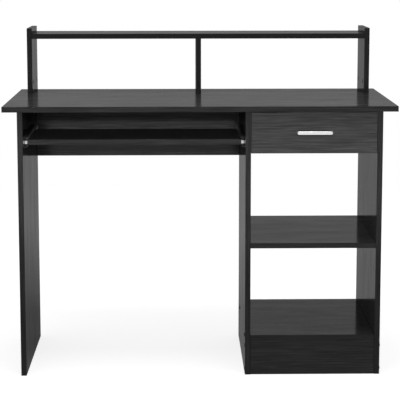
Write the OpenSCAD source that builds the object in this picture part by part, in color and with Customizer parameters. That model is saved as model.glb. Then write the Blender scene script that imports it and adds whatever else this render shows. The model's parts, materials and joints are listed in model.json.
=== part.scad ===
// Computer desk with a pull-out keyboard tray, a drawer over two open shelves and a low hutch.
// Millimetres. X runs to the right, the front faces -Y, Z is up and the floor is Z = 0.
// The origin is on the floor, at the middle of the desk's whole width and depth.

/* [Desktop] */
// Width of the desktop
desktop_w = 1080; // [1000:5:1200]
// Depth of the desktop, front to back
desktop_d = 500; // [480:5:580]
// Height of the desktop's upper face above the floor
desk_h = 755; // [720:5:780]
// Thickness of every laminated board in the frame
board_t = 15; // [15:0.5:18]

/* [Side panels] */
// How far the desktop reaches past the outer face of a side panel
panel_overhang = 40; // [20:1:60]
// How far the panels stand back from the desktop's front edge
panel_setback = 10; // [4:1:20]
// Depth of the side and middle panels, front to back
panel_d = 408; // [395:1:430]
// Clear width of the drawer and shelf bay
bay_w = 346.5; // [320:0.5:380]

/* [Back boards] */
// Height of the modesty panel behind the knees
modesty_h = 177; // [150:1:220]
// Height of the hidden rail behind the drawer
rail_h = 100; // [90:1:115]

/* [Shelf bay] */
// Height of the middle shelf's upper face
middle_shelf_z = 374; // [300:1:430]
// Height of the lower shelf's upper face
lower_shelf_z = 113; // [95:1:140]
// How far the shelves and the plinth stand back from the panels' front
shelf_setback = 2; // [0:0.5:6]
// Distance from the panel's front edge to a front shelf screw or pin
shelf_screw_front = 35; // [25:1:60]
// Distance from the panel's back edge to a rear shelf screw or pin
shelf_screw_back = 70; // [40:1:90]
// Distance from the plinth's edges to its screws
plinth_screw_edge = 16; // [14:1:24]

/* [Hutch] */
// Height of the hutch uprights above the desktop
upright_h = 194; // [160:1:260]
// Depth of the hutch, front to back
hutch_d = 154; // [140:1:178]
// How far the uprights stand in from the desktop's ends
hutch_inset = 35; // [20:1:50]
// How far the uprights rise above the hutch shelf
shelf_drop = 16; // [8:1:30]
// Distance from the hutch's front or back edge to its cams
hutch_cam_edge = 26; // [20:1:45]

/* [Keyboard tray] */
// Clear height between the tray and the underside of the desktop
tray_clear_h = 76; // [70:1:95]
// Depth of the tray, front to back
tray_d = 230; // [210:1:260]
// How far the tray stands back from the panels' front
tray_setback = 4; // [0:0.5:10]
// Distance from the tray's front or back edge to its outer slide screws
tray_screw_edge = 25; // [20:1:40]

/* [Ball slides] */
// Length of a slide member
slide_len = 300; // [280:5:320]
// Height of a slide
slide_h = 27; // [26:0.5:30]
// Thickness of a closed slide, from the panel to the moving board
slide_t = 12; // [11.5:0.5:13]
// Thickness of the slides' sheet steel
slide_sheet = 1; // [0.8:0.1:1.2]
// How far a slide opens
slide_travel = 220; // [180:5:220]
// Diameter of the slide balls
ball_d = 3; // [2.6:0.1:3.2]
// Spacing of the balls along their cage
ball_pitch = 12; // [8:1:16]
// Thickness of the ball cage's strip
cage_t = 0.6; // [0.4:0.1:0.8]
// Distance from the slide's ends to its outer screws
slide_screw_edge = 35; // [25:1:50]

/* [Drawer] */
// Gap around the inset drawer front
drawer_gap = 1.5; // [1:0.5:3]
// Height of the drawer front
drawer_front_h = 113.5; // [110:0.5:140]
// How far the drawer box stands up from the lower edge of the front
drawer_box_rise = 7.5; // [5:0.5:15]
// Height of the drawer's sides and back
drawer_side_h = 85; // [80:1:90]
// Length of the drawer's sides
drawer_side_l = 330; // [325:1:350]
// Thickness of the drawer's sides and back
drawer_side_t = 12; // [12:0.5:15]
// Thickness of the drawer's bottom board
drawer_bottom_t = 3; // [3:0.5:5]
// Depth of the groove that holds the drawer's bottom
groove_d = 5.5; // [4:0.5:6]
// Height of the groove above the lower edge of the drawer's sides
groove_z = 8; // [6:0.5:9]

// Distance from the drawer side's lower edge to its lower cam
drawer_cam_low = 24; // [22:1:26]
// Distance from the drawer side's upper edge to its upper cam
drawer_cam_high = 20; // [14:1:22]
// Distance from the drawer side's lower edge to the lower screw in its back
drawer_screw_low = 22; // [20:1:30]
// Distance from the drawer side's upper edge to the upper screw in its back
drawer_screw_high = 13; // [10:1:20]
// Length of the screws in the drawer's back
drawer_screw_l = 34; // [30:1:40]
// Diameter of their heads
drawer_screw_head = 7; // [6:0.2:7.4]

/* [Handle] */
// How far the handle's middle lies above the middle of the drawer front
handle_up = 2; // [-20:1:20]
// Length of the handle
handle_len = 100; // [80:1:160]
// Height of the handle's strap
handle_h = 10; // [8:0.5:18]
// How far the handle stands out from the drawer front
handle_reach = 25; // [20:0.5:30]
// Thickness of the strap in front of the fingers
handle_strap = 4; // [3:0.5:6]
// Width of each foot of the handle
handle_foot = 8; // [7:0.5:12]
// Radius of the handle's outer corners
handle_corner = 9; // [4:0.5:11]
// Diameter of the handle screws
handle_screw_d = 4; // [3:0.5:5]

/* [Cam fittings] */
// Diameter of a cam lock
cam_d = 15; // [12:0.5:15]
// Depth of a cam lock in a frame board
cam_h = 12.5; // [11:0.5:12.5]
// Depth of a cam lock in a drawer side
drawer_cam_h = 9.5; // [8.5:0.5:9.5]
// Distance from a cam's axis to the end of its board
cam_reach = 34; // [28:1:36]
// Diameter of a cam bolt's shaft
cam_bolt_d = 6; // [5:0.5:6]
// How deep a cam bolt screws into the other board
cam_bite = 11; // [9:0.5:12]
// Distance from the panel's front edge to its front cam
panel_cam_front = 50; // [40:1:70]
// Distance from the panel's back edge to its rear cam
panel_cam_back = 80; // [75:1:90]
// Distance from the modesty panel's edges to its cams
modesty_cam_edge = 40; // [36:1:50]
// Distance from the drawer rail's edges to its cams
rail_cam_edge = 25; // [20:1:28]

/* [Dowels and screws] */
// Diameter of a wooden dowel
dowel_d = 6; // [5:0.5:8]
// Depth of a dowel in the end of a board
dowel_deep = 15; // [12:1:18]
// Depth of a dowel in the face of a board
dowel_shallow = 10; // [8:0.5:11]
// Distance from the panel's front edge to its front dowel
panel_dowel_front = 90; // [80:1:110]
// Distance from the panel's back edge to its rear dowel
panel_dowel_back = 120; // [110:1:140]
// Length of a board screw
board_screw_l = 45; // [40:1:50]
// Diameter of a board screw's head
screw_head_d = 9; // [8:0.5:10]
// Diameter of a board screw's plain shank
screw_shank_d = 6; // [5:0.5:7]
// Diameter of a board screw's thread
screw_thread_d = 5; // [4:0.5:5]
// Diameter of a screw cap
cap_d = 12; // [11:0.5:14]
// How far a screw cap stands out
cap_h = 2; // [1:0.5:3]
// Diameter of a shelf pin
pin_d = 5; // [4:0.5:6]
// Depth of a shelf pin in the panel, and its reach under the shelf
pin_deep = 9; // [7:0.5:11]
// Diameter of the slide screws' thread
slide_screw_d = 3.5; // [3:0.5:4]
// Depth of the slide screws in their boards
slide_screw_deep = 9; // [7:0.5:10]
// Diameter of the slide screws' heads
slide_screw_head = 6.6; // [6:0.2:8]

/* [Hidden] */
$fn = 48;

// Clearances
fit = 0.05;           // between a fastener and its hole, on the radius
cam_play = 0.2;       // between a cam bolt's shaft and its hole, on the radius
groove_play = 0.1;    // above and below the drawer's bottom board
ball_play = 0.05;     // between a ball and the members that it rolls on
cage_play = 0.1;      // between a ball and its pocket in the cage
stop_gap = 5;         // from the end of the cage's run to the end of the slide
drawer_slide_gap = 2; // from the back of the drawer front to its slides
over = 1;             // how far a cut runs past the face that it opens
countersink = 2;      // depth of the heads of the screws in the drawer's back

// Places along X
left_x = -desktop_w / 2 + panel_overhang;
left_in_x = left_x + board_t;
right_x = -left_x;
right_in_x = right_x - board_t;
mid_right_x = right_in_x - bay_w;
mid_left_x = mid_right_x - board_t;
upright_x = desktop_w / 2 - hutch_inset;
upright_in_x = upright_x - board_t;
bay_mid_x = (mid_right_x + right_in_x) / 2;

// Places along Y
handle_ahead = max(0, handle_reach - panel_setback);
front_y = (handle_ahead - desktop_d) / 2;
back_y = front_y + desktop_d;
panel_y = front_y + panel_setback;
panel_back_y = panel_y + panel_d;
shelf_y = panel_y + shelf_setback;
hutch_y = back_y - hutch_d;
tray_y = panel_y + tray_setback;
drawer_box_y = panel_y + board_t;
drawer_back_y = drawer_box_y + drawer_side_l;
drawer_slide_y = drawer_box_y + drawer_slide_gap;
back_board_y = panel_back_y - board_t;

// Places along Z
under_z = desk_h - board_t;
tray_z = under_z - tray_clear_h - board_t;
upright_top_z = desk_h + upright_h;
hutch_shelf_z = upright_top_z - shelf_drop - board_t;
drawer_top_z = under_z - drawer_gap - 0.5;
drawer_front_z = drawer_top_z - drawer_front_h;
drawer_box_z = drawer_front_z + drawer_box_rise;
drawer_box_top_z = drawer_box_z + drawer_side_h;
drawer_slide_z = drawer_box_z + drawer_side_h / 2 - 2.5;
tray_slide_z = tray_z + board_t / 2;
plinth_h = lower_shelf_z - board_t;
handle_z = drawer_front_z + drawer_front_h / 2 + handle_up;

// The drawer box between its slides
box_left_x = mid_right_x + slide_t;
box_right_x = right_in_x - slide_t;
box_in_left_x = box_left_x + drawer_side_t;
box_in_right_x = box_right_x - drawer_side_t;

// The slide's section, measured from the panel and from its middle height
outer_deep = slide_t - 1.6;
race_z = slide_h / 2 - slide_sheet;
ball_z = race_z - ball_d / 2 - ball_play;
inner_z = ball_z - ball_d / 2 - ball_play;
screw_head_t = 0.8;
cage_x = slide_sheet + screw_head_t + 0.4;
inner_x = cage_x + cage_t + 0.6;
inner_lip = 2;
tab_gap = 0.6;
ball_x = inner_x + 2.4;
cage_leg_x = ball_x + ball_d / 2 + 0.7;
lip_z = ball_z + cage_t / 2 + 0.1;
cage_len = slide_len - slide_travel - 2 * stop_gap;
cage_y = (slide_len - cage_len) / 2;
ball_count = floor((cage_len - 2 * ball_d) / ball_pitch) + 1;

BOARD = [0.13, 0.13, 0.13];
STEEL = [0.72, 0.73, 0.75];
NICKEL = [0.86, 0.86, 0.84];
WOOD = [0.78, 0.62, 0.42];
PLASTIC = [0.06, 0.06, 0.06];
HARDBOARD = [0.16, 0.14, 0.12];

// ---------------------------------------------------------------- shared shapes

// A block between its lowest and its highest corner
module block(low, high) {
    translate(low) cube(high - low);
}

// Puts a fitting at a place, its own Z pointing out and its own X pointing to
module place(at, out, to) {
    side = cross(out, to);
    multmatrix([
        [to.x, side.x, out.x, at.x],
        [to.y, side.y, out.y, at.y],
        [to.z, side.z, out.z, at.z],
        [0, 0, 0, 1]
    ]) children();
}

// A rectangle from x0 to x1, z_half each way, with round corners
module round_rect(x0, x1, z_half, r) {
    translate([x0 + r, -z_half]) square([x1 - x0 - 2 * r, 2 * z_half]);
    translate([x0, -z_half + r]) square([x1 - x0, 2 * (z_half - r)]);
    for (x = [x0 + r, x1 - r], z = [-z_half + r, z_half - r])
        translate([x, z]) circle(r);
}

// A flat section in X and Z, drawn out along +Y
module draw_y(length) {
    translate([0, length, 0]) rotate([90, 0, 0]) linear_extrude(length) children();
}

// ---------------------------------------------------------------- fittings

// Cam lock: its face is at Z = 0 and the bolt comes in from +X
module cam_lock(depth, bolt_z) {
    difference() {
        translate([0, 0, -depth]) cylinder(d = cam_d - 2 * fit, h = depth);
        translate([-cam_bolt_d / 2, 0, -bolt_z]) rotate([0, 90, 0])
            cylinder(d = cam_bolt_d + 2, h = cam_d);
        for (a = [0, 90]) rotate(a)
            translate([-cam_d / 3.5, -0.7, -1.6]) cube([2 * cam_d / 3.5, 1.4, 3]);
    }
}

// Cam bolt: head in the lock, shaft along +X, thread in the next board
module cam_bolt(bolt_z) {
    translate([-cam_bolt_d / 2 + 0.3, 0, -bolt_z]) rotate([0, 90, 0]) {
        cylinder(d = cam_bolt_d + 1.4, h = 3);
        cylinder(d = cam_bolt_d - 2, h = 9);
        translate([0, 0, 8]) cylinder(d = cam_bolt_d, h = cam_reach - 8 + cam_bolt_d / 2 - 0.3);
    }
    translate([cam_reach, 0, -bolt_z]) rotate([0, 90, 0])
        cylinder(d = cam_bolt_d - 2 * fit, h = cam_bite);
}

// The holes for a cam lock and its bolt, through both boards
module cam_holes(depth, bolt_z) {
    translate([0, 0, -depth - fit]) cylinder(d = cam_d, h = depth + fit + over);
    translate([0, 0, -bolt_z]) rotate([0, 90, 0])
        cylinder(d = cam_bolt_d + 2 * cam_play, h = cam_reach);
    translate([cam_reach, 0, -bolt_z]) rotate([0, 90, 0])
        cylinder(d = cam_bolt_d, h = cam_bite + 0.3);
}

// Board screw: head flush at Z = 0, running down -Z through one board into the next
module board_screw() {
    difference() {
        union() {
            translate([0, 0, -3]) cylinder(d = screw_head_d, h = 3);
            translate([0, 0, -board_t]) cylinder(d = screw_shank_d, h = board_t - 3 + fit);
            translate([0, 0, -board_screw_l])
                cylinder(d = screw_thread_d, h = board_screw_l - board_t + fit);
        }
        translate([0, 0, -2.5]) cylinder(d = 4.6, h = 3, $fn = 6);
    }
}

module board_screw_holes() {
    translate([0, 0, -3 - fit]) cylinder(d = screw_head_d + 2 * fit, h = 3 + fit + over);
    translate([0, 0, -board_t - fit]) cylinder(d = screw_shank_d + 2 * fit, h = board_t);
    translate([0, 0, -board_screw_l - 0.5]) cylinder(d = screw_thread_d + 2 * fit, h = board_screw_l);
}

// Screw cap: a low dome with a peg that sits in the screw's socket
module screw_cap() {
    cylinder(d = cap_d, h = cap_h * 0.4);
    translate([0, 0, cap_h * 0.4]) cylinder(d1 = cap_d, d2 = cap_d * 0.66, h = cap_h * 0.6);
    translate([0, 0, -2]) cylinder(d = 3.6, h = 2 + fit);
}

// Dowel along Z: the end of its board is at Z = 0, the face of the next board above it
module dowel() {
    translate([0, 0, -dowel_deep]) cylinder(d = dowel_d, h = dowel_deep + dowel_shallow);
}

module dowel_hole() {
    translate([0, 0, -dowel_deep - 0.3])
        cylinder(d = dowel_d + 2 * fit, h = dowel_deep + dowel_shallow + 0.6);
}

// Slide screw: head on Z = 0, running down -Z through the sheet and into the board
module slide_screw(head_t) {
    cylinder(d = slide_screw_head, h = head_t);
    translate([0, 0, -slide_sheet - slide_screw_deep])
        cylinder(d = slide_screw_d, h = slide_sheet + slide_screw_deep + fit);
}

module slide_screw_hole() {
    translate([0, 0, -slide_sheet - slide_screw_deep - 0.3])
        cylinder(d = slide_screw_d + 2 * fit, h = slide_sheet + slide_screw_deep + over);
}

// ---------------------------------------------------------------- where the fittings go

X = [1, 0, 0];
Y = [0, 1, 0];
Z = [0, 0, 1];
panel_cam_z = under_z - cam_reach;
panel_cam_ys = [panel_y + panel_cam_front, panel_back_y - panel_cam_back];
modesty_cam_zs = [under_z - modesty_h + modesty_cam_edge, under_z - modesty_cam_edge];
rail_cam_zs = [under_z - rail_h + rail_cam_edge, under_z - rail_cam_edge];

// Each cam of the frame: place, direction out of its face, direction of its bolt
frame_cams = [
    for (y = panel_cam_ys) each [
        [[left_in_x, y, panel_cam_z], X, Z],
        [[mid_right_x, y, panel_cam_z], X, Z],
        [[right_in_x, y, panel_cam_z], -X, Z]
    ],
    for (z = modesty_cam_zs) each [
        [[left_in_x + cam_reach, panel_back_y, z], Y, -X],
        [[mid_left_x - cam_reach, panel_back_y, z], Y, X]
    ],
    for (z = rail_cam_zs) each [
        [[mid_right_x + cam_reach, panel_back_y, z], Y, -X],
        [[right_in_x - cam_reach, panel_back_y, z], Y, X]
    ]
];

drawer_cam_zs = [drawer_box_z + drawer_cam_low, drawer_box_top_z - drawer_cam_high];
drawer_cams = [
    for (z = drawer_cam_zs) each [
        [[box_in_left_x, drawer_box_y + cam_reach, z], X, -Y],
        [[box_in_right_x, drawer_box_y + cam_reach, z], -X, -Y]
    ]
];

// Dowels between the three panels and the desktop
panel_dowels = [
    for (x = [left_x, mid_left_x, right_in_x],
         y = [panel_y + panel_dowel_front, panel_back_y - panel_dowel_back])
        [x + board_t / 2, y, under_z]
];

// Board screws of the lower shelf and the plinth, with their direction out of the panel
shelf_screw_ys = [panel_y + shelf_screw_front, panel_back_y - shelf_screw_back];
plinth_screw_zs = [plinth_screw_edge, plinth_h - plinth_screw_edge];
shelf_screw_sites = [
    for (side = [[mid_left_x, -1], [right_x, 1]]) each [
        for (y = shelf_screw_ys) [[side[0], y, lower_shelf_z - board_t / 2], side[1] * X],
        for (z = plinth_screw_zs) [[side[0], shelf_y + board_t / 2, z], side[1] * X]
    ]
];

// Each cam of the hutch, in the same way
hutch_cam_ys = [hutch_y + hutch_cam_edge, back_y - hutch_cam_edge];
hutch_cams = [
    for (y = hutch_cam_ys) each [
        [[-upright_in_x, y, desk_h + cam_reach], X, -Z],
        [[upright_in_x, y, desk_h + cam_reach], -X, -Z],
        [[board_t / 2, y, desk_h + cam_reach], X, -Z],
        [[board_t / 2, y, hutch_shelf_z - cam_reach], X, Z],
        [[cam_reach - upright_in_x, y, hutch_shelf_z], -Z, -X],
        [[upright_in_x - cam_reach, y, hutch_shelf_z], -Z, X]
    ]
];

// Dowels of the hutch: place at the joint, direction into the other board, a direction across
hutch_mid_y = (hutch_y + back_y) / 2;
hutch_dowel_sites = [
    for (x = [board_t / 2 - upright_x, 0, upright_x - board_t / 2])
        [[x, hutch_mid_y, desk_h], -Z, X],
    [[0, hutch_mid_y, hutch_shelf_z], Z, X],
    for (side = [-1, 1])
        [[side * upright_in_x, hutch_mid_y, hutch_shelf_z + board_t / 2], side * X, Z]
];

// Pins under the middle shelf, with their direction out of the panel
pin_z = middle_shelf_z - board_t - pin_d / 2 - fit;
pin_sites = [
    for (side = [[mid_right_x, 1], [right_in_x, -1]], y = shelf_screw_ys)
        [[side[0], y, pin_z], side[1] * X]
];

// Slides: front end of the closed slide at the panel's face, and the way to the moving board
tray_slides = [
    [[left_in_x, tray_y, tray_slide_z], 1],
    [[mid_left_x, tray_y, tray_slide_z], -1]
];
drawer_slides = [
    [[mid_right_x, drawer_slide_y, drawer_slide_z], 1],
    [[right_in_x, drawer_slide_y, drawer_slide_z], -1]
];
slide_screw_run = [slide_screw_edge, slide_len / 2, slide_len - slide_screw_edge];
tray_screw_run = [tray_screw_edge, tray_d / 2, tray_d - tray_screw_edge];

// Puts a slide part, drawn for a panel on its left, at a slide's place
module at_slide(slide) {
    translate(slide[0]) scale_x(slide[1]) children();
}

// Leaves children as they are, or mirrors them across X
module scale_x(way) {
    if (way > 0) children();
    else mirror(X) children();
}

// Screws that hold the outer member to its panel
module panel_side_screws(slide) {
    at_slide(slide) for (y = slide_screw_run)
        place([slide_sheet, y, 0], X, Z) slide_screw(screw_head_t);
}

module panel_side_holes(slide) {
    at_slide(slide) for (y = slide_screw_run)
        place([slide_sheet, y, 0], X, Z) slide_screw_hole();
}

// Screws that hold the inner member to the moving board
module board_side_screws(slide, run) {
    at_slide(slide) for (y = run)
        place([slide_t - slide_sheet, y, 0], -X, Z) slide_screw(1.6);
}

module board_side_holes(slide, run) {
    at_slide(slide) for (y = run)
        place([slide_t - slide_sheet, y, 0], -X, Z) slide_screw_hole();
}

// All the cam holes of the frame
module frame_cam_holes() {
    for (c = frame_cams) place(c[0], c[1], c[2]) cam_holes(cam_h, board_t / 2);
}

module drawer_cam_holes() {
    for (c = drawer_cams) place(c[0], c[1], c[2]) cam_holes(drawer_cam_h, drawer_side_t / 2);
}

module panel_dowel_holes() {
    for (p = panel_dowels) translate(p) dowel_hole();
}

module hutch_cam_holes() {
    for (c = hutch_cams) place(c[0], c[1], c[2]) cam_holes(cam_h, board_t / 2);
}

module hutch_dowel_holes() {
    for (d = hutch_dowel_sites) place(d[0], d[1], d[2]) dowel_hole();
}

module shelf_screw_holes() {
    for (s = shelf_screw_sites) place(s[0], s[1], Z) board_screw_holes();
}

// ---------------------------------------------------------------- frame boards

module desktop() {
    color(BOARD) difference() {
        block([-desktop_w / 2, front_y, under_z], [desktop_w / 2, back_y, desk_h]);
        frame_cam_holes();
        panel_dowel_holes();
        hutch_cam_holes();
        hutch_dowel_holes();
    }
}

module left_side_panel() {
    color(BOARD) difference() {
        block([left_x, panel_y, 0], [left_in_x, panel_back_y, under_z]);
        frame_cam_holes();
        panel_dowel_holes();
        panel_side_holes(tray_slides[0]);
    }
}

module middle_panel() {
    color(BOARD) difference() {
        block([mid_left_x, panel_y, 0], [mid_right_x, panel_back_y, under_z]);
        frame_cam_holes();
        panel_dowel_holes();
        panel_side_holes(tray_slides[1]);
        panel_side_holes(drawer_slides[0]);
        shelf_screw_holes();
        shelf_pin_holes();
    }
}

module right_side_panel() {
    color(BOARD) difference() {
        block([right_in_x, panel_y, 0], [right_x, panel_back_y, under_z]);
        frame_cam_holes();
        panel_dowel_holes();
        panel_side_holes(drawer_slides[1]);
        shelf_screw_holes();
        shelf_pin_holes();
    }
}

module modesty_panel() {
    color(BOARD) difference() {
        block([left_in_x, back_board_y, under_z - modesty_h], [mid_left_x, panel_back_y, under_z]);
        frame_cam_holes();
    }
}

module drawer_bay_rail() {
    color(BOARD) difference() {
        block([mid_right_x, back_board_y, under_z - rail_h], [right_in_x, panel_back_y, under_z]);
        frame_cam_holes();
    }
}

module middle_shelf() {
    color(BOARD)
        block([mid_right_x, shelf_y, middle_shelf_z - board_t],
              [right_in_x, panel_back_y, middle_shelf_z]);
}

module lower_shelf() {
    color(BOARD) difference() {
        block([mid_right_x, shelf_y, plinth_h], [right_in_x, panel_back_y, lower_shelf_z]);
        shelf_screw_holes();
    }
}

module plinth() {
    color(BOARD) difference() {
        block([mid_right_x, shelf_y, 0], [right_in_x, shelf_y + board_t, plinth_h]);
        shelf_screw_holes();
    }
}

// ---------------------------------------------------------------- hutch

// One upright of the hutch, side -1 on the left and 1 on the right
module hutch_upright(side) {
    x0 = side < 0 ? -upright_x : upright_in_x;
    color(BOARD) difference() {
        block([x0, hutch_y, desk_h], [x0 + board_t, back_y, upright_top_z]);
        hutch_cam_holes();
        hutch_dowel_holes();
    }
}

module hutch_left_upright() {
    hutch_upright(-1);
}

module hutch_right_upright() {
    hutch_upright(1);
}

module hutch_divider() {
    color(BOARD) difference() {
        block([-board_t / 2, hutch_y, desk_h], [board_t / 2, back_y, hutch_shelf_z]);
        hutch_cam_holes();
        hutch_dowel_holes();
    }
}

module hutch_shelf() {
    color(BOARD) difference() {
        block([-upright_in_x, hutch_y, hutch_shelf_z],
              [upright_in_x, back_y, hutch_shelf_z + board_t]);
        hutch_cam_holes();
        hutch_dowel_holes();
    }
}

// ---------------------------------------------------------------- keyboard tray

module keyboard_tray() {
    color(BOARD) difference() {
        block([left_in_x + slide_t, tray_y, tray_z],
              [mid_left_x - slide_t, tray_y + tray_d, tray_z + board_t]);
        for (s = tray_slides) board_side_holes(s, tray_screw_run);
    }
}

// ---------------------------------------------------------------- ball slides

// Channel fixed to the panel, with a stop tab near each end for the ball cage
module slide_outer(slide) {
    color(STEEL) at_slide(slide) {
        difference() {
            draw_y(slide_len) difference() {
                round_rect(0, outer_deep, slide_h / 2, 2.5);
                round_rect(slide_sheet, outer_deep - slide_sheet, race_z, 1.5);
                translate([outer_deep - 2 * slide_sheet, -lip_z])
                    square([3 * slide_sheet, 2 * lip_z]);
            }
            for (y = slide_screw_run) place([slide_sheet, y, 0], X, Z) slide_screw_hole();
        }
        for (y = [1.5, slide_len - 3])
            block([slide_sheet - fit, y, -4], [cage_x + cage_t / 2, y + 1.5, 4]);
    }
}

// Channel that rides inside it, fixed to the tray or the drawer, its front end closed by a tab
module slide_inner(slide, run) {
    tab_x = inner_x + slide_sheet + tab_gap;
    tab_z = inner_z - inner_lip - tab_gap;
    color(STEEL) at_slide(slide) {
        difference() {
            draw_y(slide_len) difference() {
                round_rect(inner_x, slide_t, inner_z, 1.8);
                round_rect(inner_x + slide_sheet, slide_t - slide_sheet, inner_z - slide_sheet, 0.8);
                translate([inner_x - slide_sheet, inner_lip - inner_z])
                    square([3 * slide_sheet, 2 * (inner_z - inner_lip)]);
            }
            for (y = run) place([slide_t - slide_sheet, y, 0], -X, Z) slide_screw_hole();
        }
        block([tab_x, 0, -tab_z], [slide_t - slide_sheet + fit, slide_sheet, tab_z]);
    }
}

// Places of the balls in one row, from the closed slide's front end
function ball_ys() = [
    for (i = [0 : ball_count - 1]) slide_len / 2 + (i - (ball_count - 1) / 2) * ball_pitch
];

// Bent strip that holds the balls apart
module slide_cage(slide) {
    color(STEEL) at_slide(slide) difference() {
        translate([0, cage_y, 0]) draw_y(cage_len) difference() {
            translate([cage_x, -ball_z - cage_t / 2])
                square([cage_leg_x - cage_x, 2 * ball_z + cage_t]);
            translate([cage_x + cage_t, -ball_z + cage_t / 2])
                square([cage_leg_x, 2 * ball_z - cage_t]);
        }
        for (y = ball_ys(), z = [-ball_z, ball_z])
            translate([ball_x, y, z - cage_t]) cylinder(d = ball_d + 2 * cage_play, h = 2 * cage_t);
    }
}

module slide_balls(slide) {
    color(STEEL) at_slide(slide) for (y = ball_ys(), z = [-ball_z, ball_z])
        translate([ball_x, y, z]) sphere(d = ball_d, $fn = 24);
}

module tray_slide_left_outer() { slide_outer(tray_slides[0]); }
module tray_slide_left_cage() { slide_cage(tray_slides[0]); }
module tray_slide_left_balls() { slide_balls(tray_slides[0]); }
module tray_slide_left_inner() { slide_inner(tray_slides[0], tray_screw_run); }
module tray_slide_right_outer() { slide_outer(tray_slides[1]); }
module tray_slide_right_cage() { slide_cage(tray_slides[1]); }
module tray_slide_right_balls() { slide_balls(tray_slides[1]); }
module tray_slide_right_inner() { slide_inner(tray_slides[1], tray_screw_run); }
module drawer_slide_left_outer() { slide_outer(drawer_slides[0]); }
module drawer_slide_left_cage() { slide_cage(drawer_slides[0]); }
module drawer_slide_left_balls() { slide_balls(drawer_slides[0]); }
module drawer_slide_left_inner() { slide_inner(drawer_slides[0], slide_screw_run); }
module drawer_slide_right_outer() { slide_outer(drawer_slides[1]); }
module drawer_slide_right_cage() { slide_cage(drawer_slides[1]); }
module drawer_slide_right_balls() { slide_balls(drawer_slides[1]); }
module drawer_slide_right_inner() { slide_inner(drawer_slides[1], slide_screw_run); }

// ---------------------------------------------------------------- drawer

// The drawer's bottom board, or with play its groove
module drawer_bottom_board(play) {
    inset = groove_d - 0.5;
    block([box_in_left_x - inset - 5 * play, drawer_box_y - inset - 5 * play,
           drawer_box_z + groove_z - play],
          [box_in_right_x + inset + 5 * play, drawer_back_y - drawer_side_t + inset + 5 * play,
           drawer_box_z + groove_z + drawer_bottom_t + play]);
}

// Screws from the sides into the drawer's back, with their direction out of the side
drawer_back_sites = [
    for (side = [[box_left_x, -1], [box_right_x, 1]],
         z = [drawer_box_z + drawer_screw_low, drawer_box_top_z - drawer_screw_high])
        [[side[0], drawer_back_y - drawer_side_t / 2, z], side[1] * X]
];

module drawer_back_screw() {
    translate([0, 0, -countersink]) cylinder(d = drawer_screw_head, h = countersink);
    translate([0, 0, -drawer_screw_l])
        cylinder(d = slide_screw_d, h = drawer_screw_l - countersink + fit);
}

module drawer_back_screw_hole() {
    translate([0, 0, -countersink - fit])
        cylinder(d = drawer_screw_head + 2 * fit, h = countersink + over);
    translate([0, 0, -drawer_screw_l - 0.5])
        cylinder(d = slide_screw_d + 2 * fit, h = drawer_screw_l);
}

handle_screw_xs = [for (side = [-1, 1]) bay_mid_x + side * (handle_len - handle_foot) / 2];
handle_screw_grip = 8;

module handle_screw() {
    translate([0, 0, -board_t - handle_screw_grip])
        cylinder(d = handle_screw_d, h = board_t + handle_screw_grip + fit);
    cylinder(d = 2 * handle_screw_d, h = 2.2);
}

module handle_screw_hole() {
    translate([0, 0, -board_t - handle_screw_grip - 0.5])
        cylinder(d = handle_screw_d + 2 * fit, h = board_t + handle_screw_grip + over);
}

module handle_screw_holes() {
    for (x = handle_screw_xs) place([x, drawer_box_y, handle_z], Y, X) handle_screw_hole();
}

module drawer_front() {
    color(BOARD) difference() {
        block([mid_right_x + drawer_gap, panel_y, drawer_front_z],
              [right_in_x - drawer_gap, drawer_box_y, drawer_top_z]);
        drawer_cam_holes();
        drawer_bottom_board(groove_play);
        handle_screw_holes();
    }
}

// One side of the drawer box, from its outer face towards the inside
module drawer_side(x0, slide) {
    color(BOARD) difference() {
        block([x0, drawer_box_y, drawer_box_z], [x0 + drawer_side_t, drawer_back_y, drawer_box_top_z]);
        drawer_cam_holes();
        drawer_bottom_board(groove_play);
        board_side_holes(slide, slide_screw_run);
        for (s = drawer_back_sites) place(s[0], s[1], Z) drawer_back_screw_hole();
    }
}

module drawer_left_side() {
    drawer_side(box_left_x, drawer_slides[0]);
}

module drawer_right_side() {
    drawer_side(box_in_right_x, drawer_slides[1]);
}

module drawer_back() {
    color(BOARD) difference() {
        block([box_in_left_x, drawer_back_y - drawer_side_t, drawer_box_z],
              [box_in_right_x, drawer_back_y, drawer_box_top_z]);
        drawer_bottom_board(groove_play);
        for (s = drawer_back_sites) place(s[0], s[1], Z) drawer_back_screw_hole();
    }
}

module drawer_bottom() {
    color(HARDBOARD) drawer_bottom_board(0);
}

// Flat strap bent back at both ends, lying across the drawer front
module drawer_handle() {
    half = handle_len / 2;
    inner_r = max(1, handle_corner - handle_strap);
    color(NICKEL) difference() {
        translate([bay_mid_x, panel_y, handle_z - handle_h / 2]) linear_extrude(handle_h)
            rotate(-90) intersection() {
                difference() {
                    round_rect(-handle_reach, handle_reach, half, handle_corner);
                    round_rect(handle_strap - handle_reach, handle_reach - handle_strap,
                               half - handle_foot, inner_r);
                }
                translate([0, -half]) square([handle_reach, handle_len]);
            }
        handle_screw_holes();
    }
}

// ---------------------------------------------------------------- fasteners

module frame_cam_bolts() {
    color(STEEL) for (c = frame_cams) place(c[0], c[1], c[2]) cam_bolt(board_t / 2);
}

module frame_cam_locks() {
    color(STEEL) for (c = frame_cams) place(c[0], c[1], c[2]) cam_lock(cam_h, board_t / 2);
}

module frame_dowels() {
    color(WOOD) for (p = panel_dowels) translate(p) dowel();
}

module shelf_screws() {
    color(STEEL) for (s = shelf_screw_sites) place(s[0], s[1], Z) board_screw();
}

module shelf_screw_caps() {
    color(PLASTIC) for (s = shelf_screw_sites) place(s[0], s[1], Z) screw_cap();
}

module shelf_pin_holes() {
    for (s = pin_sites) place(s[0], s[1], Z)
        translate([0, 0, -pin_deep - 0.3]) cylinder(d = pin_d + 2 * fit, h = pin_deep + over);
}

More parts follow.
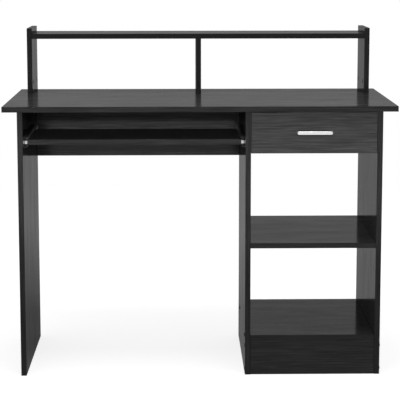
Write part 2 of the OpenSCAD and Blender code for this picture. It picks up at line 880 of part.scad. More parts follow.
module shelf_pins() {
    color(STEEL) for (s = pin_sites) place(s[0], s[1], Z)
        translate([0, 0, -pin_deep]) cylinder(d = pin_d, h = 2 * pin_deep);
}

module hutch_cam_bolts() {
    color(STEEL) for (c = hutch_cams) place(c[0], c[1], c[2]) cam_bolt(board_t / 2);
}

module hutch_cam_locks() {
    color(STEEL) for (c = hutch_cams) place(c[0], c[1], c[2]) cam_lock(cam_h, board_t / 2);
}

module hutch_dowels() {
    color(WOOD) for (d = hutch_dowel_sites) place(d[0], d[1], d[2]) dowel();
}

module tray_slide_panel_screws() {
    color(STEEL) for (s = tray_slides) panel_side_screws(s);
}

module tray_slide_tray_screws() {
    color(STEEL) for (s = tray_slides) board_side_screws(s, tray_screw_run);
}

module drawer_slide_panel_screws() {
    color(STEEL) for (s = drawer_slides) panel_side_screws(s);
}

module drawer_slide_box_screws() {
    color(STEEL) for (s = drawer_slides) board_side_screws(s, slide_screw_run);
}

module drawer_cam_bolts() {
    color(STEEL) for (c = drawer_cams) place(c[0], c[1], c[2]) cam_bolt(drawer_side_t / 2);
}

module drawer_cam_locks() {
    color(STEEL) for (c = drawer_cams) place(c[0], c[1], c[2]) cam_lock(drawer_cam_h, drawer_side_t / 2);
}

module drawer_back_screws() {
    color(STEEL) for (s = drawer_back_sites) place(s[0], s[1], Z) drawer_back_screw();
}

module handle_screws() {
    color(STEEL) for (x = handle_screw_xs)
        place([x, drawer_box_y, handle_z], Y, X) handle_screw();
}

desktop();
left_side_panel();
middle_panel();
right_side_panel();
modesty_panel();
drawer_bay_rail();
middle_shelf();
lower_shelf();
plinth();
hutch_left_upright();
hutch_right_upright();
hutch_divider();
hutch_shelf();
keyboard_tray();
tray_slide_left_outer();
tray_slide_left_cage();
tray_slide_left_balls();
tray_slide_left_inner();
tray_slide_right_outer();
tray_slide_right_cage();
tray_slide_right_balls();
tray_slide_right_inner();
drawer_front();
drawer_left_side();
drawer_right_side();
drawer_back();
drawer_bottom();
drawer_handle();
drawer_slide_left_outer();
drawer_slide_left_cage();
drawer_slide_left_balls();
drawer_slide_left_inner();
drawer_slide_right_outer();
drawer_slide_right_cage();
drawer_slide_right_balls();
drawer_slide_right_inner();
frame_cam_bolts();
frame_cam_locks();
frame_dowels();
shelf_screws();
shelf_screw_caps();
shelf_pins();
hutch_cam_bolts();
hutch_cam_locks();
hutch_dowels();
tray_slide_panel_screws();
tray_slide_tray_screws();
drawer_slide_panel_screws();
drawer_slide_box_screws();
drawer_cam_bolts();
drawer_cam_locks();
drawer_back_screws();
handle_screws();
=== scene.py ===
"""Looks of the computer desk: banded laminate boards, ball slides, handle, fittings, light and camera."""

import json
import math

import bmesh
import bpy
from mathutils import Matrix, Vector

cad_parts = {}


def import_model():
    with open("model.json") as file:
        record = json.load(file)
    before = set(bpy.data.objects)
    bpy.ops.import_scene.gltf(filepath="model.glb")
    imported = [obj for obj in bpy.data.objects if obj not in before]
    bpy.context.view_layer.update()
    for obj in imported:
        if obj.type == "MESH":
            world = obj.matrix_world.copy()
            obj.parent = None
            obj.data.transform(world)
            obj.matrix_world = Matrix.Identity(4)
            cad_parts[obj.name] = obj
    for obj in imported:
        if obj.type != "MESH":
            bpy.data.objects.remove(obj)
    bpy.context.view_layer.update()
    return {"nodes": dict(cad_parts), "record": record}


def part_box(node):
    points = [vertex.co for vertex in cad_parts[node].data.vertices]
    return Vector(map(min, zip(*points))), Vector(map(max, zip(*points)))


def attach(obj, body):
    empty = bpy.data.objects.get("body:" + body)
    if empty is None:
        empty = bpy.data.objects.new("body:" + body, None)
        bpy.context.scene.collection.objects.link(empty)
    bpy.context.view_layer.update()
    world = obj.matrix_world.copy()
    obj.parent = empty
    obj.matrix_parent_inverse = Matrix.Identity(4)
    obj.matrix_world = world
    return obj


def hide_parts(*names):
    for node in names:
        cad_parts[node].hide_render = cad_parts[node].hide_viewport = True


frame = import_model()

MM = 0.001
TINY = 0.02 * MM
WELD = TINY / 4

# ---------------------------------------------------------------- node trees


def new_material(name):
    """A material with an empty node tree: (material, add, link)."""
    material = bpy.data.materials.new(name)
    material.use_nodes = True
    tree = material.node_tree
    tree.nodes.clear()
    return material, adder(tree), tree.links.new


def adder(tree):
    """A function that adds a node of a kind and sets its sockets and settings by name."""

    def add(kind, sockets=None, **settings):
        node = tree.nodes.new(kind)
        for key, value in settings.items():
            setattr(node, key, value)
        for key, value in (sockets or {}).items():
            node.inputs[key].default_value = value
        return node

    return add


def grey(value):
    return (value, value, value, 1)


def ramp(add, stops):
    """A colour ramp with its stops as (place, colour)."""
    node = add("ShaderNodeValToRGB")
    elements = node.color_ramp.elements
    while len(elements) < len(stops):
        elements.new(0.5)
    for element, (place, colour) in zip(elements, stops):
        element.position = place
        element.color = colour
    return node


def noise(add, link, axis, across, along, detail, roughness):
    """Noise on Object coordinates, its scale along one axis set apart, for grain or brushing."""
    place = add("ShaderNodeTexCoord")
    scale = [across] * 3
    scale[axis] = along
    stretch = add("ShaderNodeMapping", {"Scale": scale})
    link(place.outputs["Object"], stretch.inputs["Vector"])
    node = add("ShaderNodeTexNoise", {"Scale": 1.0, "Detail": detail, "Roughness": roughness})
    link(stretch.outputs[0], node.inputs["Vector"])
    return node.outputs[0]


def maths(add, link, operation, first, second):
    node = add("ShaderNodeMath", operation=operation)
    for socket, value in zip(node.inputs, (first, second)):
        if isinstance(value, (int, float)):
            socket.default_value = value
        else:
            link(value, socket)
    return node.outputs[0]


def bumped(add, link, height, distance, strength):
    node = add("ShaderNodeBump", {"Distance": distance, "Strength": strength})
    link(height, node.inputs["Height"])
    return node.outputs[0]


def principled(add, link, **sockets):
    shader = add("ShaderNodeBsdfPrincipled", {k.replace("_", " "): v for k, v in sockets.items()})
    out = add("ShaderNodeOutputMaterial")
    link(shader.outputs[0], out.inputs["Surface"])
    return shader


# ---------------------------------------------------------------- materials


def wood_streaks(add, link, axis, layers):
    """Noises drawn out along one axis, each as (across, along, share), mixed about a middle tone."""
    total = 0.5 - 0.5 * sum(share for _, _, share in layers)
    for across, along, share in layers:
        layer = noise(add, link, axis, across, along, detail=3.0, roughness=0.6)
        total = maths(add, link, "ADD", total, maths(add, link, "MULTIPLY", layer, share))
    return total


PORES = ((900, 14, 0.34), (300, 9, 0.34), (30, 1.4, 0.07))
FIGURE = ((26, 5, 0.6), (90, 12, 0.4))
# Where the dark, middle and light tones lie in the streaks
DARK, MIDDLE, LIGHT = 0.41, 0.50, 0.59


def black_laminate(axis, paleness_and_painted_light, gloss, blur=0.13):
    """Black wood-grain melamine, its grain along one axis: fine pores, and a broad figure in the gloss.

    The paleness_and_painted_light scales its tones: 0.6 is the laminate's own tone, and more paints light
    into a brighter copy; the gloss is its coat's weight and the blur its coat's roughness.
    """
    material, add, link = new_material("black_laminate_" + "xyz"[axis])
    tone = wood_streaks(add, link, axis, PORES)
    stops = [(DARK, 0.016), (MIDDLE, 0.034), (LIGHT, 0.060)]
    colour = ramp(add, [(place, grey(value * paleness_and_painted_light)) for place, value in stops])
    link(tone, colour.inputs[0])
    figure = wood_streaks(add, link, axis, FIGURE)
    sheen = add(
        "ShaderNodeMapRange",
        {"From Min": DARK, "From Max": LIGHT, "To Min": 0.9 * gloss, "To Max": 1.1 * gloss},
    )
    link(figure, sheen.inputs["Value"])
    shader = principled(
        add, link, Roughness=0.55, Specular_IOR_Level=0.0, Coat_Roughness=blur, Coat_IOR=1.5
    )
    link(colour.outputs[0], shader.inputs["Base Color"])
    link(sheen.outputs[0], shader.inputs["Coat Weight"])
    relief = bumped(add, link, tone, 0.08 * MM, 0.6)
    link(relief, shader.inputs["Normal"])
    link(relief, shader.inputs["Coat Normal"])
    return material


def edge_band(axis):
    """Black edge tape with a lower relief than the laminate, its streaks along one axis."""
    material, add, link = new_material("black_edge_band_" + "xyz"[axis])
    tone = wood_streaks(add, link, axis, PORES)
    colour = ramp(add, [(DARK, grey(0.011)), (MIDDLE, grey(0.0185)), (LIGHT, grey(0.0275))])
    link(tone, colour.inputs[0])
    shader = principled(
        add,
        link,
        Roughness=0.5,
        Specular_IOR_Level=0.0,
        Coat_Weight=0.18,
        Coat_Roughness=0.16,
        Coat_IOR=1.5,
    )
    link(colour.outputs[0], shader.inputs["Base Color"])
    link(bumped(add, link, tone, 0.05 * MM, 0.5), shader.inputs["Normal"])
    return material


def particle_board():
    """Raw particle board inside the bores."""
    material, add, link = new_material("particle_board")
    chips = noise(add, link, 2, 500, 500, detail=5.0, roughness=0.7)
    colour = ramp(add, [(0.3, (0.24, 0.15, 0.08, 1)), (0.7, (0.55, 0.4, 0.25, 1))])
    link(chips, colour.inputs[0])
    shader = principled(add, link, Roughness=0.85)
    link(colour.outputs[0], shader.inputs["Base Color"])
    return material


def hardboard():
    """Black-faced hardboard, matt and slightly pebbled."""
    material, add, link = new_material("black_hardboard")
    pebble = noise(add, link, 2, 900, 900, detail=2.0, roughness=0.5)
    colour = ramp(add, [(0.3, grey(0.016)), (0.7, grey(0.03))])
    link(pebble, colour.inputs[0])
    shader = principled(add, link, Roughness=0.6)
    link(colour.outputs[0], shader.inputs["Base Color"])
    link(bumped(add, link, pebble, 0.1 * MM, 0.5), shader.inputs["Normal"])
    return material


def inside(add, link, low, high):
    """1 within a box of the object's own space, 0 outside."""
    place = add("ShaderNodeTexCoord")
    centred = add("ShaderNodeVectorMath", operation="SUBTRACT")
    link(place.outputs["Object"], centred.inputs[0])
    centred.inputs[1].default_value = (low + high) / 2
    share = add("ShaderNodeVectorMath", operation="DIVIDE")
    link(centred.outputs[0], share.inputs[0])
    share.inputs[1].default_value = (high - low) / 2
    size = add("ShaderNodeVectorMath", operation="ABSOLUTE")
    link(share.outputs[0], size.inputs[0])
    parts = add("ShaderNodeSeparateXYZ")
    link(size.outputs[0], parts.inputs[0])
    furthest = maths(add, link, "MAXIMUM", parts.outputs[1], parts.outputs[2])
    furthest = maths(add, link, "MAXIMUM", parts.outputs[0], furthest)
    return maths(add, link, "LESS_THAN", furthest, 1.0)


# The colour sockets of a mix node
MIX_FIRST, MIX_SECOND, MIX_RESULT = 6, 7, 2


def dulled(add, link, colour, boxes, tone):
    """A colour that gives way to a plain grey within each box."""
    marked = 0.0
    for low, high in boxes:
        marked = maths(add, link, "ADD", marked, inside(add, link, low, high))
    blend = add("ShaderNodeMix", data_type="RGBA")
    link(marked, blend.inputs["Factor"])
    link(colour, blend.inputs[MIX_FIRST])
    blend.inputs[MIX_SECOND].default_value = grey(tone)
    return blend.outputs[MIX_RESULT]


def metal(
    name, dark, light, roughness, metallic=1.0, edge=1.0,
    axis=1, across=2500, along=30, dull=(), dull_tone=0.012,
):
    """Plated metal between two tones, with faint marks along one axis.

    The edge tints its shine at a flat angle, and dull lists the boxes that have the dull tone instead.
    """
    material, add, link = new_material(name)
    marks = noise(add, link, axis, across, along, detail=3.0, roughness=0.6)
    blotch = noise(add, link, axis, 120, 120, detail=2.0, roughness=0.5)
    marks = maths(add, link, "MULTIPLY", marks, 0.6)
    blotch = maths(add, link, "MULTIPLY", blotch, 0.4)
    tone = maths(add, link, "ADD", marks, blotch)
    colour = ramp(add, [(0.3, dark), (0.7, light)])
    link(tone, colour.inputs[0])
    rough = ramp(add, [(0.3, grey(roughness * 1.25)), (0.7, grey(roughness * 0.8))])
    link(tone, rough.inputs[0])
    finish = colour.outputs[0]
    if dull:
        finish = dulled(add, link, finish, dull, dull_tone)
    shader = principled(add, link, Metallic=metallic, Specular_Tint=grey(edge))
    link(finish, shader.inputs["Base Color"])
    link(rough.outputs[0], shader.inputs["Roughness"])
    link(bumped(add, link, tone, 0.01 * MM, 0.6), shader.inputs["Normal"])
    return material


def beech():
    """Plain beech dowel with short flecks along it."""
    material, add, link = new_material("beech")
    fleck = noise(add, link, 2, 900, 90, detail=3.0, roughness=0.6)
    colour = ramp(add, [(0.35, (0.42, 0.26, 0.13, 1)), (0.65, (0.66, 0.47, 0.28, 1))])
    link(fleck, colour.inputs[0])
    shader = principled(add, link, Roughness=0.7)
    link(colour.outputs[0], shader.inputs["Base Color"])
    return material


def black_plastic():
    """Satin black moulded plastic with a fine spark-eroded grain."""
    material, add, link = new_material("black_plastic")
    grain = noise(add, link, 2, 3000, 3000, detail=2.0, roughness=0.5)
    colour = ramp(add, [(0.3, grey(0.010)), (0.7, grey(0.018))])
    link(grain, colour.inputs[0])
    shader = principled(add, link, Roughness=0.42, Specular_IOR_Level=0.4)
    link(colour.outputs[0], shader.inputs["Base Color"])
    link(bumped(add, link, grain, 0.01 * MM, 0.5), shader.inputs["Normal"])
    return material


# The places in LAMINATE: first the plain boards, by the axis of their grain, then two paler copies of the
# same laminate that carry painted light, one for the fronts and one for the tops
ALONG_X, ALONG_Y, ALONG_Z, LIT_FRONT_COPY, LIT_TOP_COPY = range(5)
LAMINATE = [black_laminate(axis, paleness_and_painted_light=0.6, gloss=0.22) for axis in range(3)]
# Painted light: the fronts' copy is paler than the plain boards, as if lit more strongly
LAMINATE.append(black_laminate(0, paleness_and_painted_light=0.84, gloss=0.42))
# Painted light: the tops' copy is paler still, as if lit more strongly from above
LAMINATE.append(black_laminate(0, paleness_and_painted_light=0.9, gloss=0.215, blur=0.17))
BANDS = [edge_band(axis) for axis in range(3)]
CORE = particle_board()
HARDBOARD = hardboard()
# A metal's dark tone, light tone and roughness
ZINC_FINISH = ((0.42, 0.43, 0.44, 1), (0.62, 0.63, 0.64, 1), 0.34)
ZINC = metal("bright_zinc", *ZINC_FINISH)
BALL_STEEL = metal("ball_steel", grey(0.72), grey(0.88), 0.08)
DARK_ZINC = metal("dark_zinc", grey(0.10), grey(0.16), 0.42, across=900, along=900, edge=0.1)
NICKEL_FINISH = ((0.70, 0.70, 0.69, 1), (0.84, 0.84, 0.83, 1), 0.24)
NICKEL = metal("satin_nickel", *NICKEL_FINISH, axis=0, across=1800, along=25)
BEECH = beech()
PLASTIC = black_plastic()
BY_SLOT = {
    "black_laminate": LAMINATE[ALONG_X],
    "black_hardboard": HARDBOARD,
    "zinc_steel": ZINC,
    "satin_nickel": NICKEL,
    "dark_zinc": DARK_ZINC,
    "beech": BEECH,
    "black_plastic": PLASTIC,
}

# ---------------------------------------------------------------- mesh helpers


def body_of(node):
    for body, nodes in frame["record"]["behaviour"]["bodies"].items():
        if node in nodes:
            return body


def slot_of(node):
    for part in frame["record"]["subparts"]:
        if part["node"] == node:
            return part["material_slot"]


def mesh_of(name, bm):
    mesh = bpy.data.meshes.new(name)
    bm.to_mesh(mesh)
    bm.free()
    return mesh


def finished(name, bm, materials, node):
    """Makes a mesh the piece that stands for a CAD node."""
    mesh = mesh_of(name, bm)
    for material in materials:
        mesh.materials.append(material)
    piece = bpy.data.objects.new(name, mesh)
    bpy.context.scene.collection.objects.link(piece)
    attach(piece, body_of(node))
    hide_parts(node)
    return piece


def whole_mesh(node):
    """A copy of a CAD node's mesh, its loose triangles joined into whole faces."""
    bm = bmesh.new()
    bm.from_mesh(frame["nodes"][node].data)
    bmesh.ops.remove_doubles(bm, verts=bm.verts, dist=WELD)
    bmesh.ops.dissolve_limit(
        bm, angle_limit=math.radians(0.5), verts=bm.verts, edges=bm.edges, use_dissolve_boundaries=False
    )
    return bm


def solids(node):
    """The lowest and highest corner of each separate solid in a node."""
    bm = whole_mesh(node)
    left, found = set(bm.verts), []
    while left:
        reach, group = [left.pop()], []
        while reach:
            vert = reach.pop()
            group.append(vert.co.copy())
            near = {edge.other_vert(vert) for edge in vert.link_edges} & left
            left -= near
            reach.extend(near)
        low = Vector(min(co[i] for co in group) for i in range(3))
        high = Vector(max(co[i] for co in group) for i in range(3))
        found.append((low, high))
    bm.free()
    return sorted(found, key=lambda pair: tuple(round(v, 5) for v in pair[0]))


def smooth(bm, angle):
    """Smooth shading on a mesh, apart from the edges that turn by more than an angle in degrees."""
    for face in bm.faces:
        face.smooth = True
    for edge in bm.edges:
        edge.smooth = edge.is_manifold and edge.calc_face_angle(0) < math.radians(angle)


def bevel(bm, edges, offset, segments):
    bmesh.ops.bevel(
        bm,
        geom=edges,
        offset=offset,
        offset_type="OFFSET",
        segments=segments,
        profile=0.5,
        affect="EDGES",
        material=-1,
        clamp_overlap=True,
    )


# ---------------------------------------------------------------- boards

EDGE_ROUND = 0.7 * MM


def sides_met(co, low, high):
    """Which sides of a box a point lies on, as (axis, end)."""
    return {
        (i, end)
        for i in range(3)
        for end, corner in enumerate((low, high))
        if abs(co[i] - corner[i]) < TINY
    }


def sides_of(face, low, high):
    """Which sides of a box a whole face lies on."""
    return set.intersection(*(sides_met(vert.co, low, high) for vert in face.verts))


def board(node, laminate, wider=0.0):
    """A board with rounded, banded edges and open bores, its left and right ends moved out by wider."""
    low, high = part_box(node)
    size = high - low
    thin = min(range(3), key=lambda i: size[i])
    bm = whole_mesh(node)
    outer = [
        edge
        for edge in bm.edges
        if len(sides_met(edge.verts[0].co, low, high) & sides_met(edge.verts[1].co, low, high)) > 1
    ]
    first_band = len(LAMINATE)
    core = first_band + len(BANDS)
    for face in bm.faces:
        axes = {axis for axis, _ in sides_of(face, low, high)}
        if thin in axes:
            face.material_index = laminate
        elif axes:
            # The numbers of the three axes add up to 3, which leaves the one that the edge runs along
            along = 3 - thin - axes.pop()
            face.material_index = first_band + along
        else:
            face.material_index = core
    bevel(bm, outer, EDGE_ROUND, segments=3)
    for face in bm.faces:
        face.smooth = not sides_of(face, low, high)
    for vert in bm.verts:
        if vert.co.x < low.x + 2 * EDGE_ROUND:
            vert.co.x -= wider
        elif vert.co.x > high.x - 2 * EDGE_ROUND:
            vert.co.x += wider
    return finished(node + "_board", bm, LAMINATE + BANDS + [CORE], node)


def boards():
    """Every board, by the laminate of its two faces."""
    laid = {
        ALONG_X: ("drawer_bay_rail", "middle_shelf", "lower_shelf", "plinth", "keyboard_tray", "drawer_back"),
        ALONG_Y: ("drawer_left_side", "drawer_right_side"),
        ALONG_Z: (
            "left_side_panel", "middle_panel", "right_side_panel",
            "hutch_left_upright", "hutch_right_upright", "hutch_divider",
        ),
        LIT_FRONT_COPY: ("modesty_panel",),
        LIT_TOP_COPY: ("desktop", "hutch_shelf"),
    }
    for laminate, nodes in laid.items():
        for node in nodes:
            board(node, laminate)
    board("drawer_front", LIT_FRONT_COPY, wider=0.8 * MM)


# ---------------------------------------------------------------- handle


def handle_section(width, depth, corner, groove):
    """The strap's section in X, from 0 at its back, and Z: round corners and a shallow front groove."""

    def rounded(side):
        mid = Vector((depth - corner, 0, side * (width / 2 - corner)))
        turns = [math.radians(30 * step) for step in range(4)]
        return [mid + Vector((math.cos(turn), 0, side * math.sin(turn))) * corner for turn in turns]

    dip = [
        Vector((depth, 0, -groove)),
        Vector((depth - groove * 0.2, 0, -groove * 0.3)),
        Vector((depth - groove * 0.2, 0, groove * 0.3)),
        Vector((depth, 0, groove)),
    ]
    back = [Vector((0, 0, width / 2 - corner * 0.6)), Vector((0, 0, corner * 0.6 - width / 2))]
    return rounded(-1)[::-1] + dip + rounded(1) + back


def extruded(bm, edges):
    """Extrudes edges without moving them, and gives the new vertices and edges."""
    grown = bmesh.ops.extrude_edge_only(bm, edges=edges)["geom"]
    verts = [item for item in grown if isinstance(item, bmesh.types.BMVert)]
    return verts, [item for item in grown if isinstance(item, bmesh.types.BMEdge)]


def put_in_order(bm):
    """Orders faces by their vertices, because extruded edges give their faces in any order."""
    bm.verts.index_update()
    count = len(bm.verts)

    def place(face):
        numbers = [vert.index for vert in face.verts]
        return max(numbers) * count + min(numbers)

    bm.faces.sort(key=place)


def handle():
    """A flat strap swept from foot to foot: out from the drawer front, round a bend, across and back."""
    node = "drawer_handle"
    low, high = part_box(node)
    strap, bend, foot_gap = 4.0 * MM, 9.0 * MM, 0.6 * MM
    bend_steps = 6
    bend_turn = Matrix.Rotation(math.pi / 2 / bend_steps, 3, "Z")
    mid_z = (low.z + high.z) / 2
    bm = bmesh.new()
    section = handle_section(high.z - low.z, strap, corner=2.4 * MM, groove=1.3 * MM)
    # The section starts on the drawer front at the left foot, its outer side towards -X
    verts = [bm.verts.new((low.x + strap - p.x, high.y, mid_z + p.z)) for p in section]
    loop = [bm.edges.new((verts[i], verts[(i + 1) % len(verts)])) for i in range(len(verts))]
    bm.faces.new(verts)

    def run(edges, move):
        verts, edges = extruded(bm, edges)
        bmesh.ops.translate(bm, verts=verts, vec=move)
        return edges

    def turn(edges, centre):
        for _ in range(bend_steps):
            verts, edges = extruded(bm, edges)
            bmesh.ops.rotate(bm, verts=verts, cent=centre, matrix=bend_turn)
        return edges

    reach = high.y - low.y
    edges = run(loop, Vector((0, bend - reach, 0)))
    edges = turn(edges, Vector((low.x + bend, low.y + bend, 0)))
    edges = run(edges, Vector((high.x - low.x - 2 * bend, 0, 0)))
    edges = turn(edges, Vector((high.x - bend, low.y + bend, 0)))
    edges = run(edges, Vector((0, reach - bend, 0)))
    bmesh.ops.holes_fill(bm, edges=edges)
    for foot_x in (low.x + strap + foot_gap, high.x - strap - foot_gap):
        add_foot(bm, foot_x, high.y, mid_z)
    put_in_order(bm)
    bmesh.ops.recalc_face_normals(bm, faces=bm.faces)
    smooth(bm, 40)
    return finished("bow_handle", bm, [NICKEL], node)


def add_foot(bm, x, wall_y, z):
    """A round boss between the strap's end and the drawer front, which takes the screw."""
    radius, length = 3.6 * MM, 10 * MM
    bmesh.ops.create_cone(
        bm,
        cap_ends=True,
        segments=32,
        radius1=radius,
        radius2=radius,
        depth=length,
        matrix=Matrix.Translation((x, wall_y - length / 2, z)) @ Matrix.Rotation(math.pi / 2, 4, "X"),
    )


# ---------------------------------------------------------------- small fittings


def facing(sign):
    """A turn that takes +Z to +X or, for a sign of -1, to -X."""
    return (Vector((1, 0, 0)) * sign).to_track_quat("Z", "Y").to_matrix().to_4x4()


def ring(bm, radius, z, count):
    place = Matrix.Translation((0, 0, z))
    return bmesh.ops.create_circle(bm, segments=count, radius=radius, matrix=place)["verts"]


def edges_of(verts):
    """The edges that join the given vertices to one another."""
    own = set(verts)
    return list({edge for vert in verts for edge in vert.link_edges if edge.other_vert(vert) in own})


def turned(bm, outline, count):
    """Turns an outline of (radius, height) on Z from a closed bottom, and gives the edges of its open top."""
    bottom = ring(bm, *outline[0], count)
    bm.faces.new(bottom)
    last = edges_of(bottom)
    for radius, height in outline[1:]:
        edges = edges_of(ring(bm, radius, height, count))
        bmesh.ops.bridge_loops(bm, edges=last + edges)
        last = edges
    return last


def cross_recess(bm, rim, top, arm, width, depth):
    """Closes a head's rim with a cross-shaped recess that narrows towards its floor."""
    a, w = arm, width / 2
    corners = [
        (a, -w), (a, w), (w, w), (w, a), (-w, a), (-w, w),
        (-a, w), (-a, -w), (-w, -w), (-w, -a), (w, -a), (w, -w),
    ]
    verts = [bm.verts.new((x, y, top)) for x, y in corners]
    face = bm.faces.new(verts)
    mouth = list(face.edges)
    bmesh.ops.bridge_loops(bm, edges=rim + mouth)
    bed = bmesh.ops.extrude_discrete_faces(bm, faces=[face])["faces"][0]
    bmesh.ops.translate(bm, verts=bed.verts, vec=(0, 0, -depth))
    bmesh.ops.scale(bm, verts=bed.verts, vec=(0.6, 0.6, 1), space=Matrix.Identity(4))
    bmesh.ops.bridge_loops(bm, edges=mouth + list(bed.edges))


def screw_mesh(head_r, head_h, shank_r, shank_l):
    """A pan-head screw: the underside of its head at Z = 0, its shank down -Z and a cross in its head."""
    bm = bmesh.new()
    outline = [
        (shank_r * 0.4, -shank_l), (shank_r, -shank_l + 2 * MM), (shank_r, 0),
        (head_r, 0), (head_r, head_h * 0.35), (head_r * 0.9, head_h * 0.75), (head_r * 0.62, head_h),
    ]
    rim = turned(bm, outline, 24)
    cross_recess(bm, rim, head_h, arm=head_r * 0.5, width=head_r * 0.2, depth=head_h * 0.7)
    bmesh.ops.recalc_face_normals(bm, faces=bm.faces)
    smooth(bm, 50)
    return mesh_of("screw", bm)


def scattered(name, mesh, places, material, node):
    """One piece made of a mesh repeated at each place."""
    bm = bmesh.new()
    for place in places:
        before = len(bm.verts)
        bm.from_mesh(mesh)
        bm.verts.ensure_lookup_table()
        bmesh.ops.transform(bm, matrix=place, verts=bm.verts[before:])
    return finished(name, bm, [material], node)


def slide_screws(node, slides, head_h):
    """Pan-head screws whose heads lie inside the slides."""
    spans = [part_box(slide) for slide in slides]
    places = []
    for low, high in solids(node):
        mid = (low + high) / 2
        length = high.x - low.x - head_h
        if any(a.x < high.x < b.x for a, b in spans):
            seat, sign = high.x - head_h, 1
        else:
            seat, sign = low.x + head_h, -1
        # Each screw stopped at an angle of its own
        spin = Matrix.Rotation(mid.y * 40 + mid.z * 7, 4, "Z")
        places.append(Matrix.Translation((seat, mid.y, mid.z)) @ facing(sign) @ spin)
    mesh = screw_mesh(3.3 * MM, head_h, 1.75 * MM, length)
    scattered(node + "_heads", mesh, places, ZINC, node)


def screw_caps():
    """Low domed caps on the screws of the plinth and the lower shelf."""
    node = "shelf_screw_caps"
    outline = [
        (1.8, -1.9), (1.8, 0), (6.0, 0), (6.0, 0.5), (5.7, 0.95),
        (5.0, 1.4), (3.9, 1.72), (2.4, 1.92), (1.0, 2.0),
    ]
    bm = bmesh.new()
    top = turned(bm, [(radius * MM, height * MM) for radius, height in outline], 32)
    bmesh.ops.holes_fill(bm, edges=top)
    bmesh.ops.recalc_face_normals(bm, faces=bm.faces)
    smooth(bm, 50)
    mesh = mesh_of("cap", bm)
    bay_low, bay_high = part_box("lower_shelf")
    middle = (bay_low.x + bay_high.x) / 2
    places = []
    for low, high in solids(node):
        mid = (low + high) / 2
        if mid.x < middle:
            face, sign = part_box("middle_panel")[0].x, -1
        else:
            face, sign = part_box("right_side_panel")[1].x, 1
        places.append(Matrix.Translation((face, mid.y, mid.z)) @ facing(sign))
    scattered("screw_caps", mesh, places, PLASTIC, node)


def fittings():
    """The screws of both pairs of slides, and the caps on the board screws."""
    for slide, held in (("tray_slide", "tray"), ("drawer_slide", "box")):
        members = [
            "_".join((slide, side, member))
            for side in ("left", "right")
            for member in ("outer", "inner")
        ]
        slide_screws(slide + "_panel_screws", members, head_h=0.8 * MM)
        slide_screws("_".join((slide, held, "screws")), members, head_h=1.6 * MM)
    screw_caps()


def front_end(node, depth):
    """The box around a slide's front end, to a depth from its very front."""
    low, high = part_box(node)
    near = low - Vector((MM, MM, MM))
    far = Vector((high.x + MM, low.y + depth, high.z + MM))
    return near, far


def painted_shade_marks(node):
    """The boxes of painted shade: two black patches in the front end of an inner slide, below and above its
    middle, where its dark openings lie.
    """
    low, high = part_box(node)
    near, far = front_end(node, 1.4 * MM)
    mid_z, half_gap = (low.z + high.z) / 2, 4.3 * MM
    below = (near, Vector((far.x, far.y, mid_z - half_gap)))
    above = (Vector((near.x, near.y, mid_z + half_gap)), far)
    return [below, above]


def darkened_front_end(node):
    """The box of an outer slide's front end, which is darkened to a dull grey."""
    return [front_end(node, 0.8 * MM)]


def dress_cad_nodes():
    """Gives the CAD nodes that stay their finish, and their sharp rims a slight round."""
    for node, obj in frame["nodes"].items():
        if obj.hide_render:
            continue
        material = BALL_STEEL if node.endswith("_balls") else BY_SLOT[slot_of(node)]
        if node.endswith("_inner"):
            # The black patches on the inner slide's front end are painted shade, in colour only
            material = metal("zinc_with_painted_shade", *ZINC_FINISH, metallic=0.75, dull=painted_shade_marks(node))
        elif node.endswith("_outer"):
            # The outer slide's front end is darkened to a dull grey
            material = metal("zinc_with_darkened_end", *ZINC_FINISH, dull=darkened_front_end(node), dull_tone=0.09)
        obj.data.materials.clear()
        obj.data.materials.append(material)
        if node.endswith(("_outer", "_inner", "cam_locks")):
            weld = obj.modifiers.new("weld", "WELD")
            weld.merge_threshold = WELD
            rim = obj.modifiers.new("rim", "BEVEL")
            rim.width = 0.15 * MM
            rim.segments = 2
            rim.limit_method = "ANGLE"
            rim.angle_limit = math.radians(50)


# ---------------------------------------------------------------- light, floor and camera


def seen_directly(add, link):
    """1 for rays that show the background: camera, glossy and transmission rays."""
    path = add("ShaderNodeLightPath")
    sharp = maths(add, link, "MAXIMUM", path.outputs["Is Glossy Ray"], path.outputs["Is Transmission Ray"])
    return maths(add, link, "MAXIMUM", path.outputs["Is Camera Ray"], sharp)


def mixed(add, link, factor, first, second):
    """Two shaders mixed: the first where the factor is 0."""
    node = add("ShaderNodeMixShader")
    for socket, value in zip(node.inputs, (factor, first, second)):
        link(value, socket)
    return node.outputs[0]


def added(add, link, first, second):
    """The light of two shader nodes together."""
    node = add("ShaderNodeAddShader")
    for socket, shader in zip(node.inputs, (first, second)):
        link(shader.outputs[0], socket)
    return node.outputs[0]


def world():
    """White wherever it is seen, and a weaker white where it only lights."""
    made = bpy.data.worlds.new("studio")
    made.use_nodes = True
    made.node_tree.nodes.clear()
    add, link = adder(made.node_tree), made.node_tree.links.new
    ambient = add("ShaderNodeBackground", {"Color": grey(1), "Strength": 0.4})
    white = add("ShaderNodeBackground", {"Color": grey(1), "Strength": 1.0})
    seen = mixed(add, link, seen_directly(add, link), ambient.outputs[0], white.outputs[0])
    out = add("ShaderNodeOutputWorld")
    link(seen, out.inputs["Surface"])
    bpy.context.scene.world = made


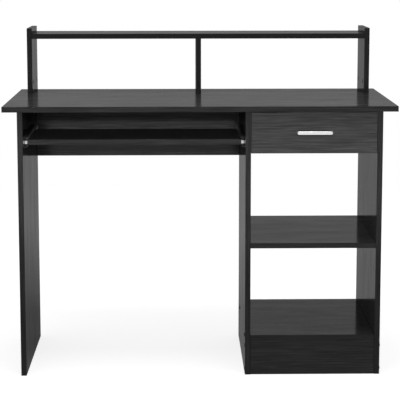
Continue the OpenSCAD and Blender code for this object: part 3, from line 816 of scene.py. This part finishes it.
def floor():
    """A plain pale floor that fades into the white background away from the desk.

    In the desk's gloss it carries a painted shadow: dull around a spot behind the desk and to its left, and
    lighter further off.
    """
    material, add, link = new_material("pale_floor")
    path = add("ShaderNodeLightPath")
    place = add("ShaderNodeTexCoord")
    far = add("ShaderNodeVectorMath", operation="LENGTH")
    link(place.outputs["Object"], far.inputs[0])
    # The dull spot is a painted shadow of the desk on the floor, seen only in the desk's gloss
    from_shadow_spot = add("ShaderNodeVectorMath", {1: (-1.3, 0.6, 0)}, operation="DISTANCE")
    link(place.outputs["Object"], from_shadow_spot.inputs[0])
    fade = add("ShaderNodeMapRange", {"From Min": 0.6, "From Max": 3.0})
    link(far.outputs["Value"], fade.inputs["Value"])
    painted_shadow_in_gloss = add("ShaderNodeMapRange", {"From Min": 0.8, "From Max": 1.75, "To Min": 0.12, "To Max": 0.78})
    link(from_shadow_spot.outputs["Value"], painted_shadow_in_gloss.inputs["Value"])
    direct = maths(add, link, "MULTIPLY", path.outputs["Is Camera Ray"], 0.8)
    matt = add("ShaderNodeBsdfDiffuse", {"Color": grey(0.5)})
    glow = add("ShaderNodeEmission", {"Color": grey(1)})
    link(maths(add, link, "MAXIMUM", direct, painted_shadow_in_gloss.outputs[0]), glow.inputs["Strength"])
    white = add("ShaderNodeEmission", {"Color": grey(1), "Strength": 1.0})
    shown = mixed(add, link, fade.outputs[0], added(add, link, matt, glow), white.outputs[0])
    lift = add("ShaderNodeEmission", {"Color": grey(1), "Strength": 0.35})
    seen = mixed(add, link, seen_directly(add, link), added(add, link, matt, lift), shown)
    out = add("ShaderNodeOutputMaterial")
    link(seen, out.inputs["Surface"])
    bm = bmesh.new()
    bmesh.ops.create_grid(bm, x_segments=1, y_segments=1, size=8)
    mesh = mesh_of("floor", bm)
    mesh.materials.append(material)
    obj = bpy.data.objects.new("floor", mesh)
    bpy.context.scene.collection.objects.link(obj)


def lamp(name, place, target, width, height, power, spread=180, mirrored=False):
    """A soft rectangular light aimed at a target. It shows in the desk's gloss only if it is mirrored."""
    data = bpy.data.lights.new(name, "AREA")
    data.shape = "RECTANGLE"
    data.size = width
    data.size_y = height
    data.spread = math.radians(spread)
    data.energy = power
    obj = bpy.data.objects.new(name, data)
    obj.location = place
    aim = Vector(target) - Vector(place)
    obj.rotation_euler = aim.to_track_quat("-Z", "Y").to_euler()
    obj.visible_camera = False
    obj.visible_glossy = mirrored
    bpy.context.scene.collection.objects.link(obj)


def lights():
    """Two wide, narrow-beamed strips in front, one above the other, and a soft box overhead."""
    for z in (1.25, 1.55):
        place, target = (-0.2, -3.2, z), (-0.1, -0.23, 0.6)
        lamp("front_strip", place, target, width=2.6, height=0.16, power=1.5, spread=12.5)
    place, target = (0, -0.8, 3.4), (0, 0, 0.6)
    lamp("top_softbox", place, target, width=2.0, height=1.0, power=30, mirrored=True)


def camera():
    """Almost square to the front, from a little above the hutch and a little to the left."""
    data = bpy.data.cameras.new("camera")
    data.sensor_width = 36
    data.lens = 125.97
    data.shift_y = -0.15
    data.clip_end = 60
    obj = bpy.data.objects.new("camera", data)
    obj.location = (-0.0635, -4.0209, 1.1735)
    obj.rotation_euler = (math.pi / 2 - 0.1341, 0.0006, -0.0165)
    bpy.context.scene.collection.objects.link(obj)
    bpy.context.scene.camera = obj
    bpy.context.scene.view_settings.view_transform = "Standard"


boards()
handle()
fittings()
dress_cad_nodes()
world()
floor()
lights()
camera()
